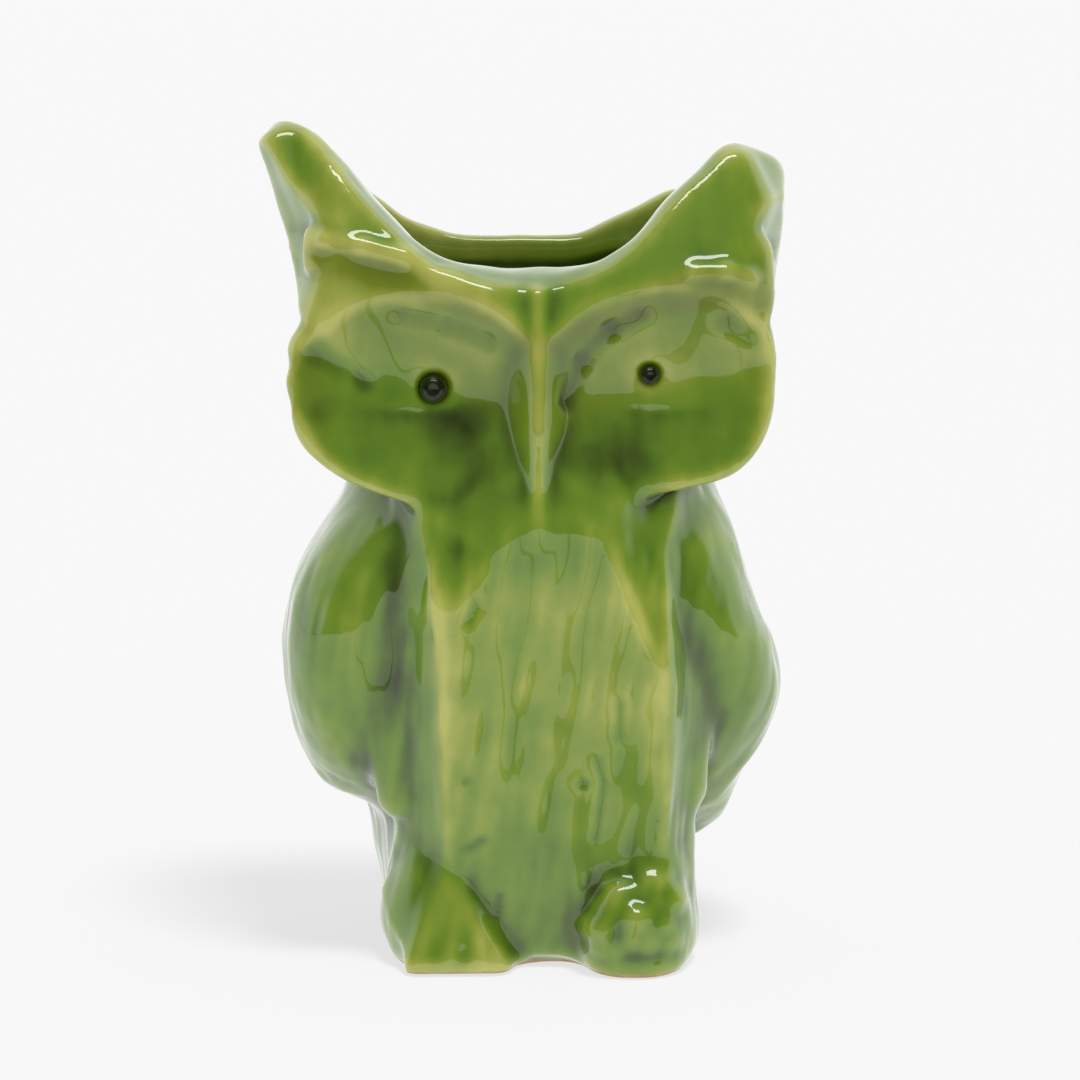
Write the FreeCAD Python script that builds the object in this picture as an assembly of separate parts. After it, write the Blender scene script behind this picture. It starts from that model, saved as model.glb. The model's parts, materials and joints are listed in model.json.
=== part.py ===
"""Owl vase: a hollow glazed earthenware owl with an open mouth between its ears.

Each clay member that the maker joins with slip is its own solid. They meet face to face, with no overlap.
Units are millimetres. The owl faces -Y, +X is to the right of a person facing it, and +Z is up.
The origin is on the table under the middle of the vessel.
"""

import FreeCAD, Part

import math
import os

V = FreeCAD.Vector

# ---------------------------------------------------------------- driving dimensions
HEIGHT = 281.0  # table to the tip of the taller ear
WALL = 6.0  # thickness of the vessel's wall
LIP_WALL = 9.5  # thickness of the lip round the mouth
EAR_THICKENING = 0.22  # how fast the side walls thicken above the lip, so that the ears are solid tufts
LIP_BOTTOM = 229.0  # where the thick lip ends and the wall goes back to its own thickness
FLOOR_TOP = 9.0  # inside bottom of the vase
FOOT_RING = 8.0  # width of the body wall where it stands on the table, round the floor slab
NECK = 156.0  # height of the joint between the body and the head
EAR_JOINT = 54.0  # each ear is luted on outside this distance from the middle
EAR_BOTTOM = 236.0
BOXINESS = 3.2  # exponent of the plan sections: 2 is an ellipse, more is squarer
PLAN_POINTS = 24

# Plan sections of the vessel, bottom to top.
# height, front y, back y, left x and right x at the front, left x and right x at the back
VESSEL = [
    (0, -36, 47, -44, 47, -56, 55),
    (14, -39, 47, -43, 46, -59, 56),
    (30, -41, 47, -42, 45, -63, 56),
    (50, -42, 48, -42, 45, -66, 56),
    (78, -43, 48, -42, 45, -65, 57),
    (110, -44, 48, -41, 45, -62, 58),
    (140, -41, 48, -46, 50, -63, 61),
    (165, -39, 48, -56, 57, -69, 68),
    (195, -39, 48, -64, 67, -76, 78),
    (222, -42, 48, -70, 74, -83, 87),
    (250, -45, 48, -75, 79, -91, 89),
    (292, -41, 47, -91, 80, -98, 89),
]

# Height of the rim at distances from the middle: along the front wall, and along the back wall.
RIM_X = (-110, -93, -85, -76, -62, -48, -32, -16, 2, 18, 33, 48, 58, 66, 76, 86, 110)
RIM_FRONT = (270, 282, 285, 282, 269, 253, 242, 236.5, 235, 238.5, 247, 261, 270, 276, 273, 270, 262)
RIM_BACK = (262, 266, 267, 265, 259, 250, 241, 239, 239, 239, 243, 252, 257, 261, 264, 264, 262)
RIM_FRONT_Y = -34.0
RIM_BACK_Y = 34.0

# Face mask: outline points (x, z), anticlockwise from the outer end of the left brow.
MASK_OUTLINE = [
    (-66, 237),
    (-73, 227),
    (-80, 213),
    (-81, 196),
    (-76, 178),
    (-60, 165),
    (-42, 158),
    (-24, 148),
    (2, 144),
    (20, 150),
    (36, 159),
    (55, 164),
    (72, 171),
    (80, 186),
    (82, 206),
    (78, 223),
    (66, 231),
    (42, 227),
    (20, 218),
    (2, 211),
    (-14, 219),
    (-38, 230),
]
# Depth of each copy of the outline, and its size about the middle of the face.
MASK_LAYERS = [(-64, 0.94), (-54, 1.0), (-42, 0.97), (-26, 0.82)]
MASK_MIDDLE = (0, 195)
MASK_FRONT = -56.5
MASK_CROWN_RADIUS = 420.0

# Scoops in the mask, one each side of the beak: middle, half sizes.
EYE_DISHES = [((-39, -70, 192), (46, 24.5, 38)), ((42, -70, 195), (46, 24.5, 37))]
CHEEK_TROUGHS = [((-20, -65, 172), (19, 19, 44)), ((25, -65, 174), (19, 19, 44))]

# Eye pits and the pellets pressed into them: x, z, pit radius, pellet radius.
LEFT_EYE = (-32.0, 196.5, 6.2, 4.6)
RIGHT_EYE = (39.0, 201.0, 4.5, 3.2)
EYE_Y = -46.0  # depth of the dish floor at the eyes

# Brow stations from the outer end to the nose: x, top, ridge y, ridge height, lower edge.
LEFT_BROW = [
    (-75, 248, -48, 243, 236),
    (-69, 253, -52, 245.5, 232),
    (-54, 254, -54, 243.5, 229),
    (-38, 247, -55, 238, 225),
    (-20, 239, -56, 228.5, 218),
    (-1, 235, -57, 215, 205),
]
RIGHT_BROW = [
    (80, 243, -48, 234, 228),
    (73, 252, -52, 234.5, 226),
    (58, 256, -54, 236, 226),
    (40, 248, -55, 231.5, 223),
    (22, 240, -56, 223, 215),
    (6, 235, -57, 214.5, 205),
]
BROW_BACK = -30.0
BROW_SLOPE = 0.5  # how far the front face of a brow runs back below its ridge
FOREHEAD_Y = -46.5  # depth of the top edge of a brow

# Beak ridge stations: height, x, front y, half width.
BEAK = [
    (147, 3.0, -57, 7.0),
    (160, 3.0, -59, 5.0),
    (185, 2.5, -61, 3.6),
    (208, 2.5, -60, 3.2),
    (224, 2.2, -54, 3.2),
    (235, 2.0, -48.5, 2.6),
]
BEAK_BACK = -36.0

# Wing stations: height, outermost x, middle y, half depth.
LEFT_WING = [
    (49, -60, 10, 14),
    (60, -74, 4, 28),
    (86, -83, -2, 39),
    (108, -84, -5, 42),
    (130, -79, -6, 40),
    (148, -69, -5, 34),
    (166, -58, 0, 24),
]
RIGHT_WING = [
    (31, 57, 22, 8),
    (46, 69, 16, 19),
    (66, 78, 9, 29),
    (94, 85, 3, 37),
    (112, 80, -1, 40),
    (132, 72, -3, 39),
    (150, 66, -2, 33),
    (166, 61, 2, 25),
]
WING_ROOT = 48.0  # how far inside its outer edge a wing's section ends

# Breast apron stations: height, left x, right x, front y.
BREAST = [
    (5, -18, 24, -40),
    (22, -22, 33, -47),
    (40, -30, 42, -53),
    (72, -32, 42, -56),
    (105, -34, 42, -57),
    (132, -35, 44, -53),
    (162, -34, 40, -45),
]
BREAST_BACK = -18.0

# Foot stations: height, left x, right x, front y.
LEFT_FOOT = [
    (0, -47, -6, -43.6),
    (8, -50, -4, -46.5),
    (22, -49, -10, -46.5),
    (40, -42, -26, -40),
]
RIGHT_FOOT = [
    (0, 17, 52, -57),
    (8, 14, 55, -59),
    (24, 17, 54, -58),
    (42, 28, 50, -44),
]
FOOT_BACK = 0.0

CLEAR = 150.0  # half size of the boxes that cut the vase into members
SLIVER = 2.0  # pieces smaller than this, in cubic millimetres, are crumbs of a cut


# ---------------------------------------------------------------- shape helpers
def signed_power(value, exponent):
    return math.copysign(abs(value) ** exponent, value)


def closed_wire(points):
    """A smooth closed wire through points."""
    curve = Part.BSplineCurve()
    curve.interpolate(Points=points, PeriodicFlag=True)
    return Part.Wire(curve.toShape())


def plan_section(z, front, back, left_front, right_front, left_back, right_back, boxiness=BOXINESS):
    """A rounded plan outline whose width changes evenly from front to back."""
    points = []
    for i in range(PLAN_POINTS):
        angle = 2 * math.pi * i / PLAN_POINTS
        across = signed_power(math.cos(angle), 2 / boxiness)
        along = (1 + signed_power(math.sin(angle), 2 / boxiness)) / 2
        left = left_front + (left_back - left_front) * along
        right = right_front + (right_back - right_front) * along
        x = (left + right) / 2 + across * (right - left) / 2
        points.append(V(x, front + (back - front) * along, z))
    return closed_wire(points)


def oval_section(z, left, right, front, back, boxiness):
    return plan_section(z, front, back, left, right, left, right, boxiness)


def loft(wires, ruled=False):
    return Part.makeLoft(wires, True, ruled)


def ellipsoid(centre, radii):
    stretch = FreeCAD.Matrix()
    stretch.scale(*radii)
    ball = Part.makeSphere(1.0).transformGeometry(stretch)
    ball.translate(V(*centre))
    return ball


def box_between(x0, x1, y0, y1, z0, z1):
    return Part.makeBox(x1 - x0, y1 - y0, z1 - z0, V(x0, y0, z0))


def level_box(z0, z1):
    """Everything between two heights."""
    return box_between(-CLEAR, CLEAR, -CLEAR, CLEAR, z0, z1)


def largest(shape):
    """The one solid of a cut, without the crumbs beside it."""
    solids = sorted(shape.Solids, key=lambda solid: solid.Volume)
    for crumb in solids[:-1]:
        if crumb.Volume > SLIVER:
            print(f"  left out a piece of {crumb.Volume:.0f} mm3 at {crumb.BoundBox.Center}")
    return solids[-1]


# ---------------------------------------------------------------- vessel
def vessel_solid():
    return loft([plan_section(*row) for row in VESSEL], ruled=True)


def inside_solid(wall, bottom, top, thickening=0.0):
    """The vessel's sections moved in by a wall thickness, between two heights."""
    rows = []
    for z, front, back, left_front, right_front, left_back, right_back in VESSEL:
        side = wall + thickening * max(0.0, z - LIP_BOTTOM)
        lefts = (left_front + side, left_back + side)
        rights = (right_front - side, right_back - side)
        rows.append((z, front + wall, back - wall, lefts[0], rights[0], lefts[1], rights[1]))
    return loft([plan_section(*row) for row in rows], ruled=True).common(level_box(bottom, top))


def rim_profile(y, heights):
    """A wire in an XZ plane: the rim line, closed far above the vase."""
    rim = Part.BSplineCurve()
    rim.interpolate([V(x, y, z) for x, z in zip(RIM_X, heights)])
    start = V(RIM_X[0], y, heights[0])
    end = V(RIM_X[-1], y, heights[-1])
    top = HEIGHT + CLEAR
    over = Part.makePolygon([end, V(end.x, y, top), V(start.x, y, top), start])
    return Part.Wire([rim.toShape()] + over.Edges)


def above_rim():
    stations = [(-CLEAR, RIM_FRONT), (RIM_FRONT_Y, RIM_FRONT), (RIM_BACK_Y, RIM_BACK), (CLEAR, RIM_BACK)]
    return loft([rim_profile(y, heights) for y, heights in stations], ruled=True)


# ---------------------------------------------------------------- face
def mask_wire(y, size):
    middle_x, middle_z = MASK_MIDDLE
    points = []
    for x, z in MASK_OUTLINE:
        points.append(V(middle_x + size * (x - middle_x), y, middle_z + size * (z - middle_z)))
    return closed_wire(points)


def mask_solid():
    """The face slab: a rounded edge, a crowned front, a dish for each eye and a trough beside the beak."""
    slab = loft([mask_wire(y, size) for y, size in MASK_LAYERS])
    crown = Part.makeCylinder(MASK_CROWN_RADIUS, 2 * CLEAR, V(0, MASK_FRONT + MASK_CROWN_RADIUS, 100))
    slab = slab.common(crown)
    for centre, radii in EYE_DISHES + CHEEK_TROUGHS:
        slab = slab.cut(ellipsoid(centre, radii))
    return slab


def brow_solid(stations):
    """A wedge of clay that slopes from the forehead to a ridge over the eye, then drops to the eye dish."""
    rings = []
    for x, top, ridge_y, ridge_z, low in stations:
        corners = [
            V(x, BROW_BACK, low),
            V(x, ridge_y + BROW_SLOPE, low),
            V(x, ridge_y, ridge_z),
            V(x, FOREHEAD_Y, top),
            V(x, BROW_BACK, top),
        ]
        rings.append(Part.makePolygon(corners + corners[:1]))
    return loft(rings)


def beak_solid():
    rings = []
    for z, x, front, half in BEAK:
        rings.append(oval_section(z, x - half, x + half, front, BEAK_BACK, 2.0))
    return loft(rings, ruled=True)


def pit_and_pellet(x, z, pit, pellet):
    """A round pit in an eye dish, and the ball of clay pressed down to its bottom."""
    return Part.makeSphere(pit, V(x, EYE_Y, z)), Part.makeSphere(pellet, V(x, EYE_Y + pit - pellet, z))


# ---------------------------------------------------------------- body members
def wing_solid(stations):
    rings = []
    for z, outer, middle, half in stations:
        inner = outer - math.copysign(WING_ROOT, outer)
        left, right = min(outer, inner), max(outer, inner)
        rings.append(oval_section(z, left, right, middle - half, middle + half, 2.2))
    return loft(rings)


def front_pad(stations, back, boxiness):
    """A pad on the front of the body, through (height, left, right, front) stations."""
    rings = []
    for z, left, right, front in stations:
        rings.append(oval_section(z, left, right, front, back, boxiness))
    return loft(rings)


# ---------------------------------------------------------------- assembly
def vessel_members():
    """The thrown vessel, cut where its clay members are joined."""
    vessel = vessel_solid()
    inside = inside_solid(WALL, FLOOR_TOP, LIP_BOTTOM)
    mouth = inside_solid(LIP_WALL, LIP_BOTTOM - 1, HEIGHT + 5, EAR_THICKENING)
    floor_space = inside_solid(FOOT_RING, 0, FLOOR_TOP)
    shell = vessel.cut(inside).cut(mouth).cut(floor_space).cut(above_rim())
    upper = shell.common(level_box(NECK, HEIGHT + CLEAR))
    left_zone = box_between(-CLEAR, -EAR_JOINT, -CLEAR, CLEAR, EAR_BOTTOM, HEIGHT + CLEAR)
    right_zone = box_between(EAR_JOINT, CLEAR, -CLEAR, CLEAR, EAR_BOTTOM, HEIGHT + CLEAR)
    return {
        "floor_slab": floor_space,
        "body_wall": shell.common(level_box(0, NECK)),
        "head_wall": upper.cut(left_zone).cut(right_zone),
        "left_ear": upper.common(left_zone),
        "right_ear": upper.common(right_zone),
    }


def applied_members():
    """The members laid on the outside, in the order that each gives way to the ones before it."""
    left_pit, left_eye = pit_and_pellet(*LEFT_EYE)
    right_pit, right_eye = pit_and_pellet(*RIGHT_EYE)
    return [
        ("left_eye", left_eye),
        ("right_eye", right_eye),
        ("beak_ridge", beak_solid()),
        ("left_brow", brow_solid(LEFT_BROW)),
        ("right_brow", brow_solid(RIGHT_BROW)),
        ("face_mask", mask_solid().cut(left_pit).cut(right_pit)),
        ("left_foot", front_pad(LEFT_FOOT, FOOT_BACK, 2.6)),
        ("right_foot", front_pad(RIGHT_FOOT, FOOT_BACK, 2.6)),
        ("breast_apron", front_pad(BREAST, BREAST_BACK, 4.0)),
        ("left_wing", wing_solid(LEFT_WING)),
        ("right_wing", wing_solid(RIGHT_WING)),
    ]


def build():
    made = {name: largest(shape) for name, shape in vessel_members().items()}
    taken = [vessel_solid(), above_rim()]
    for name, shape in applied_members():
        for other in taken:
            shape = shape.cut(other)
        made[name] = largest(shape)
        taken.append(made[name])
    return made


def main():
    os.makedirs("parts", exist_ok=True)
    for name, shape in build().items():
        shape.exportStep(f"parts/{name}.step")
        print(f"{name:14s} solids {len(shape.Solids)} valid {shape.isValid()} volume {shape.Volume:9.0f}")


main()
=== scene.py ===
"""Owl vase: the look. The clay members of the CAD frame are fused, sculpted and glazed."""

import json
import math

import bmesh
import bpy
import numpy as np
import openvdb
from mathutils import Euler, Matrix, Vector

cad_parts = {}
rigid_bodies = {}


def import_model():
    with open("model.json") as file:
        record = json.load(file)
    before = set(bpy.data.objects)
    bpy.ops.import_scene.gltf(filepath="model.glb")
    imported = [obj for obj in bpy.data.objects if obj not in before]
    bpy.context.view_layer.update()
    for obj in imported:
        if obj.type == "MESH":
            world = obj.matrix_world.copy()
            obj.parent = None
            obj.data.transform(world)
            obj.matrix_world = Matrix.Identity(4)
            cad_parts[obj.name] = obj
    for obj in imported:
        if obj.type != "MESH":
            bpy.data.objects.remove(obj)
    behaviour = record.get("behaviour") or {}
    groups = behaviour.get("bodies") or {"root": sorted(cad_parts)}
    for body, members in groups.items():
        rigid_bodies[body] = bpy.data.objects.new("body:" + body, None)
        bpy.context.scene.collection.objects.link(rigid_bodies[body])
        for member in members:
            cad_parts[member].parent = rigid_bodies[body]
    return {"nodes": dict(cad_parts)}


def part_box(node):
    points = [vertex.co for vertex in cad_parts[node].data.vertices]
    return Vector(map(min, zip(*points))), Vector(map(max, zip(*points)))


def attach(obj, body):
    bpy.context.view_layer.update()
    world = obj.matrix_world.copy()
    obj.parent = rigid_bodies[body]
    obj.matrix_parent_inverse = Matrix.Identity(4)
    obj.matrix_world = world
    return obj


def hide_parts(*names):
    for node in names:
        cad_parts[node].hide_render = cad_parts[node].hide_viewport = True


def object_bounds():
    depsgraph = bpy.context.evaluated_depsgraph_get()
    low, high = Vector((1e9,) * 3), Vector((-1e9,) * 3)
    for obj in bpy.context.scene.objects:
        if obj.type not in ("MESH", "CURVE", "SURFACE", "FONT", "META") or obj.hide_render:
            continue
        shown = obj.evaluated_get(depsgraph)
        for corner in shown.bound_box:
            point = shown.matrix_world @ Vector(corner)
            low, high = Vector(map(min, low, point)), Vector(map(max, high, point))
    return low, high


for leftover in list(bpy.data.objects):
    bpy.data.objects.remove(leftover)

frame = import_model()
CAD_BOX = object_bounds()

# All sculpting is in millimetres, in the frame's own axes.
MM = 0.001
VOXEL = 1.1  # the side of a grid cell
BAND = 8.0  # how far from the surface the fields are true distances

VESSEL = ("floor_slab", "body_wall", "head_wall", "left_ear", "right_ear")
FACE = ("face_mask", "beak_ridge", "left_brow", "right_brow")
FACE_PLANE = -43.5  # the y at which the outline of the CAD face is read
WALL_PLANE = -35  # the y of a plane inside the front wall
EAR_PLANE = 5  # the y up to which the ears' tips count as part of the front rim


# ---------------------------------------------------------------- reading the frame
def node_triangles(names):
    """The triangles of some CAD nodes in millimetres, as one point array and one index array."""
    points, triangles, start = [], [], 0
    for name in names:
        mesh = frame["nodes"][name].data
        mesh.calc_loop_triangles()
        co = np.empty(len(mesh.vertices) * 3)
        mesh.vertices.foreach_get("co", co)
        index = np.empty(len(mesh.loop_triangles) * 3, np.int32)
        mesh.loop_triangles.foreach_get("vertices", index)
        points.append(co.reshape(-1, 3) / MM)
        triangles.append(index.reshape(-1, 3) + start)
        start += len(mesh.vertices)
    return np.concatenate(points), np.concatenate(triangles)


def near(name, x=0.0, y=0.0, z=0.0):
    """A point at an offset in millimetres from the middle of a node's box."""
    low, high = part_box(name)
    return np.array([(low[i] + high[i]) / 2 / MM + d for i, d in enumerate((x, y, z))])


def low_corner(name):
    """The low corner of a node's box, in millimetres."""
    return np.array(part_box(name)[0]) / MM


def high_corner(name):
    """The high corner of a node's box, in millimetres."""
    return np.array(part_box(name)[1]) / MM


# ---------------------------------------------------------------- the clay as a distance field
TRANSFORM = openvdb.createLinearTransform(voxelSize=VOXEL)
MARGIN = 12.0  # room in the grid round the CAD box
CELL_LOW = np.floor((np.array(CAD_BOX[0]) / MM - MARGIN) / VOXEL).astype(int)
CELL_HIGH = np.ceil((np.array(CAD_BOX[1]) / MM + MARGIN) / VOXEL).astype(int)
SHAPE = tuple(int(n) for n in CELL_HIGH - CELL_LOW)
AXES = [((CELL_LOW[i] + np.arange(SHAPE[i])) * VOXEL).astype(np.float32) for i in range(3)]
X = AXES[0][:, None, None]
Y = AXES[1][None, :, None]
Z = AXES[2][None, None, :]


def field(*names):
    """Signed distance to some CAD nodes, negative inside."""
    points, triangles = node_triangles(names)
    grid = openvdb.FloatGrid.createLevelSetFromPolygons(
        points.astype(np.float32),
        triangles=triangles.astype(np.uint32),
        transform=TRANSFORM,
        halfWidth=BAND,
    )
    cells = np.empty(SHAPE, np.float32)
    grid.copyToArray(cells, ijk=tuple(int(n) for n in CELL_LOW))
    return cells


def blur(cells, sigma, along=(0, 1, 2)):
    """A Gaussian blur along some axes, which softens every edge by about sigma millimetres."""
    reach = int(math.ceil(2.5 * sigma / VOXEL))
    steps = np.arange(-reach, reach + 1)
    weights = np.exp(-0.5 * (steps * VOXEL / sigma) ** 2)
    weights /= weights.sum()
    for axis in along:
        padded = np.pad(cells, [(reach, reach) if i == axis else (0, 0) for i in range(3)], mode="edge")
        total = np.zeros_like(cells)
        for step, weight in zip(steps, weights):
            window = [slice(None)] * 3
            window[axis] = slice(reach + step, reach + step + cells.shape[axis])
            total += np.float32(weight) * padded[tuple(window)]
        cells = total
    return cells


def join(a, b, blend):
    """Union with a fillet about as wide as blend."""
    h = np.clip(0.5 + 0.5 * (b - a) / blend, 0, 1)
    return b + (a - b) * h - blend * h * (1 - h)


def carve(a, b, blend):
    """a without b, with a rounded edge."""
    return -join(-a, b, blend)


def overlap(a, b, blend):
    """What a and b share, with a rounded edge."""
    return -join(-a, -b, blend)


def smoothstep(value, low, high):
    """0 below low, 1 above high and a smooth ramp between."""
    t = np.clip((value - low) / (high - low), 0, 1)
    return t * t * (3 - 2 * t)


def soft_curve(at, xs, ys):
    """A smooth line through points, read at some places."""
    fine = np.linspace(xs[0], xs[-1], 400)
    line = np.interp(fine, xs, ys)
    kernel = np.hanning(31)
    line = np.convolve(np.pad(line, 15, mode="edge"), kernel / kernel.sum(), "valid")
    return np.interp(at, fine, line)


def as_block(depth_map):
    """A map over X and Z, as a block one cell deep."""
    return depth_map[:, None, :].astype(np.float32)


def cell_of(axis, place):
    """The index of the grid plane nearest to a place along an axis."""
    return int(round((place - AXES[axis][0]) / VOXEL))


def behind(depth_map):
    """The space behind a relief, as a distance field: depth_map holds y over X and Z."""
    across, up = np.gradient(depth_map[:, 0, :], VOXEL)
    steep = np.sqrt(1 + across**2 + up**2)[:, None, :]
    return (depth_map - Y) / steep


def front_at(clay, x, z):
    """The y of the clay's surface, met from the front at some x and z."""
    column = clay[cell_of(0, x), :, cell_of(2, z)]
    j = int(np.argmax(column < 0))
    part = column[j - 1] / (column[j - 1] - column[j])
    return float(AXES[1][j - 1] + part * VOXEL)


def local(low, high):
    """The part of the grid between two corners: its slices and its three axes."""
    cut = []
    for i in range(3):
        first = int(np.clip(np.searchsorted(AXES[i], low[i]), 0, SHAPE[i] - 1))
        last = int(np.clip(np.searchsorted(AXES[i], high[i]), first + 1, SHAPE[i]))
        cut.append(slice(first, last))
    axes = (
        AXES[0][cut[0]][:, None, None],
        AXES[1][cut[1]][None, :, None],
        AXES[2][cut[2]][None, None, :],
    )
    return tuple(cut), axes


def capsule(axes, a, b, radius):
    """The distance field of a round bar from a to b."""
    along = b - a
    length = max(float(along @ along), 1e-6)
    t = np.clip(sum((axis - a[i]) * along[i] for i, axis in enumerate(axes)) / length, 0, 1)
    return np.sqrt(sum((axis - a[i] - t * along[i]) ** 2 for i, axis in enumerate(axes))) - radius


def stroke(clay, path, radius, depth, blend, add=False):
    """A groove, dent or roll along (x, z) points on the front; depth is how far it goes in or out."""
    path = [np.array([x, 0.0, z]) for x, z in path]
    for point in path:
        lift = radius - depth
        point[1] = front_at(clay, point[0], point[2]) + (lift if add else -lift)
    for a, b in zip(path, path[1:] or path):
        reach = radius + 3 * blend + 3
        cut, axes = local(np.minimum(a, b) - reach, np.maximum(a, b) + reach)
        tool = capsule(axes, a, b, radius).astype(np.float32)
        clay[cut] = join(clay[cut], tool, blend) if add else carve(clay[cut], tool, blend)


# ---------------------------------------------------------------- sculpting
def sculpt_body(vessel):
    """The vessel with its feet and wings luted on; the blend is the width of each fillet of slip."""
    body = vessel
    for name, blend in (("left_foot", 6), ("right_foot", 6), ("left_wing", 10), ("right_wing", 4)):
        body = join(body, field(name), blend)
    return blur(body, 1.4)


def nose_place():
    """The x of the nose, and the z of its lower end, which the whole face is laid out from."""
    return near("beak_ridge")[0], low_corner("beak_ridge")[2]


def ease_in(distance, radius):
    """A distance whose first stretch is rounded by a radius; nothing where the distance is negative."""
    return np.sqrt(np.maximum(distance, 0) ** 2 + radius**2) - radius


def breast_relief():
    """The depth of the breast over X and Z, and how far it turns back past its two upright corners.

    Under an arch the breast stands nearly upright; above it, it slopes back into the two eye dishes.
    """
    nose_x, chin = nose_place()
    arch_x = nose_x + np.array([-60, -48, -39.6, -26.4, -20, -8.4, -0.2, 11, 22.7, 36.3, 47, 60])
    arch_z = chin + np.array([-34, -29, -24, -22, -12, 4, 9, 9, -3, -37, -52, -60])
    arch = soft_curve(AXES[0], arch_x, arch_z)[:, None]
    x, z = AXES[0][:, None], AXES[2][None, :]
    slope_back = 0.30 * ease_in(z - arch, 6.0)
    lean_in = 0.028 * np.clip(arch - z, 0, 80) + 0.0012 * np.maximum(chin - 37 - z, 0) ** 2
    levels = low_corner("breast_apron")[2] + np.array([-6, 8, 20, 35, 110, 140, 170])
    left_edge = nose_x + np.array([-14, -17, -22, -30, -31.5, -36, -44])
    right_edge = nose_x + np.array([45, 43, 42, 41, 41, 41, 48])
    left_corner = soft_curve(AXES[2], levels, left_edge)[None, :]
    right_corner = soft_curve(AXES[2], levels, right_edge)[None, :]
    round_off = 1.25 * ease_in(left_corner - x, 2.0) + 2.2 * ease_in(x - right_corner, 2.0)
    return low_corner("breast_apron")[1] + slope_back + lean_in, round_off


def rim_height(vessel):
    """The height of the front rim over X: along the front wall, and out to the tips of the ears."""
    in_wall, past_ears = cell_of(1, WALL_PLANE), cell_of(1, EAR_PLANE)
    wall = vessel[:, in_wall, :] < 0
    ears = (vessel[:, in_wall:past_ears, :] < 0).any(axis=1)
    nose_x = nose_place()[0]
    beside = ((AXES[0] < nose_x - 62) | (AXES[0] > nose_x + 50))[:, None]
    solid = np.where(beside, ears, wall)
    top = SHAPE[2] - 1 - np.argmax(solid[:, ::-1], axis=1)
    crossed = solid.any(axis=1)
    height = np.interp(AXES[0], AXES[0][crossed], AXES[2][top][crossed])
    window = np.ones(5) / 5
    return np.convolve(np.pad(height, 2, mode="edge"), window, "valid")


def brow_ridge(x):
    """The height of the brow ridge over X: down from each ear to the nose."""
    nose_x, chin = nose_place()
    left_x = [-80, -70, -58, -49, -41, -35, -25, -16, -9, -4]
    left_z = [99, 99.6, 97.3, 94.4, 91.8, 87, 83.4, 78.9, 74, 68]
    right_x = [4, 16, 28, 37, 46, 57, 63, 80]
    right_z = [68, 75, 80, 84.7, 88.3, 89, 89, 86]
    across = nose_x + np.array(left_x + [0] + right_x)
    height = chin + np.array(left_z + [66] + right_z)
    return soft_curve(x, across, height)


def eye_dishes(x, z):
    """How deep the two eye dishes are scooped, and the hollows between each dish and the nose."""
    nose_x, chin = nose_place()
    scooped = 0.0
    for eye, shift_x, shift_z, half_x, half_z in (
        (near("left_eye"), -5, -4, 43, 34.5),
        (near("right_eye"), 3, -7, 42, 36),
    ):
        u = (x - eye[0] - shift_x) / half_x
        v = (z - eye[2] - shift_z) / half_z
        bowl = np.maximum(1 - (np.abs(u) ** 2.4 + np.abs(v) ** 1.8), 0)
        from_nose = (x - nose_x) / 24 + np.sign(nose_x - eye[0]) * 0.95
        hollow = np.exp(-(from_nose**2) - ((z - chin - 38) / 26) ** 2)
        scooped = scooped + 9.5 * bowl**0.8 + 2.5 * hollow
    return scooped


def nose_ridge(x):
    """The depth of the thin nose ridge over X and Z, from the rim down to the breast."""
    nose_x, chin = nose_place()
    levels = chin + np.array([-20, 0, 16, 38, 58, 76, 88, 110])
    crest = soft_curve(AXES[2], levels, [-56, -57.5, -58.6, -58.8, -57.8, -55.6, -51.2, -46])[None, :]
    steepness = soft_curve(AXES[2], levels, [0.7, 0.9, 1.5, 1.3, 1.1, 0.9, 0.8, 0.8])[None, :]
    return crest + steepness * (np.sqrt((x - nose_x + 0.6) ** 2 + 1.4**2) - 1.4)


def face_relief(vessel, breast):
    """Depth of the whole face over X and Z: forehead, brow, the two eye dishes and the nose."""
    x, z = AXES[0][:, None], AXES[2][None, :]
    nose_x, chin = nose_place()
    ridge = brow_ridge(AXES[0])[:, None]
    edge_x = nose_x + np.array([-80, -66, -50, -30, 0, 30, 50, 66, 80])
    edge = soft_curve(AXES[0], edge_x, [-45, -52.5, -52, -54, -56, -55, -54, -53.5, -46])[:, None]
    forehead = edge + 0.38 * (z - ridge)
    lobes = edge + (low_corner("face_mask")[1] + 0.8 - edge) * smoothstep(ridge - z, 12, 60)
    relief = np.where(z > ridge, forehead, lobes) + eye_dishes(x, z)

    throat = np.minimum(breast, low_corner("breast_apron")[1] + 9.0)
    for centre in (nose_x - 21, nose_x + 21):
        aside = np.maximum(np.abs(x - centre) - 11, 0)
        channel = throat - 0.035 * aside**2 - 0.02 * np.maximum(z - chin - 22, 0) ** 2
        relief = overlap(relief, channel, 5)

    over_rim = np.maximum(z - rim_height(vessel)[:, None], 0)
    return join(relief, nose_ridge(x), 1.5) + 3.0 * over_rim


def valley_fill():
    """Clay pressed into the valleys between the wings and the breast."""
    left, right = high_corner("left_wing")[0] - 10, low_corner("right_wing")[0] + 9
    front = near("left_wing")[1]
    fills = []
    for x, y, low, high in ((left, front - 27, 58, 142), (right, front - 24, 60, 140)):
        fills.append(capsule((X, Y, Z), np.array([x, y, low]), np.array([x, y, high]), 8.0))
    return np.minimum(*fills)


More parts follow.
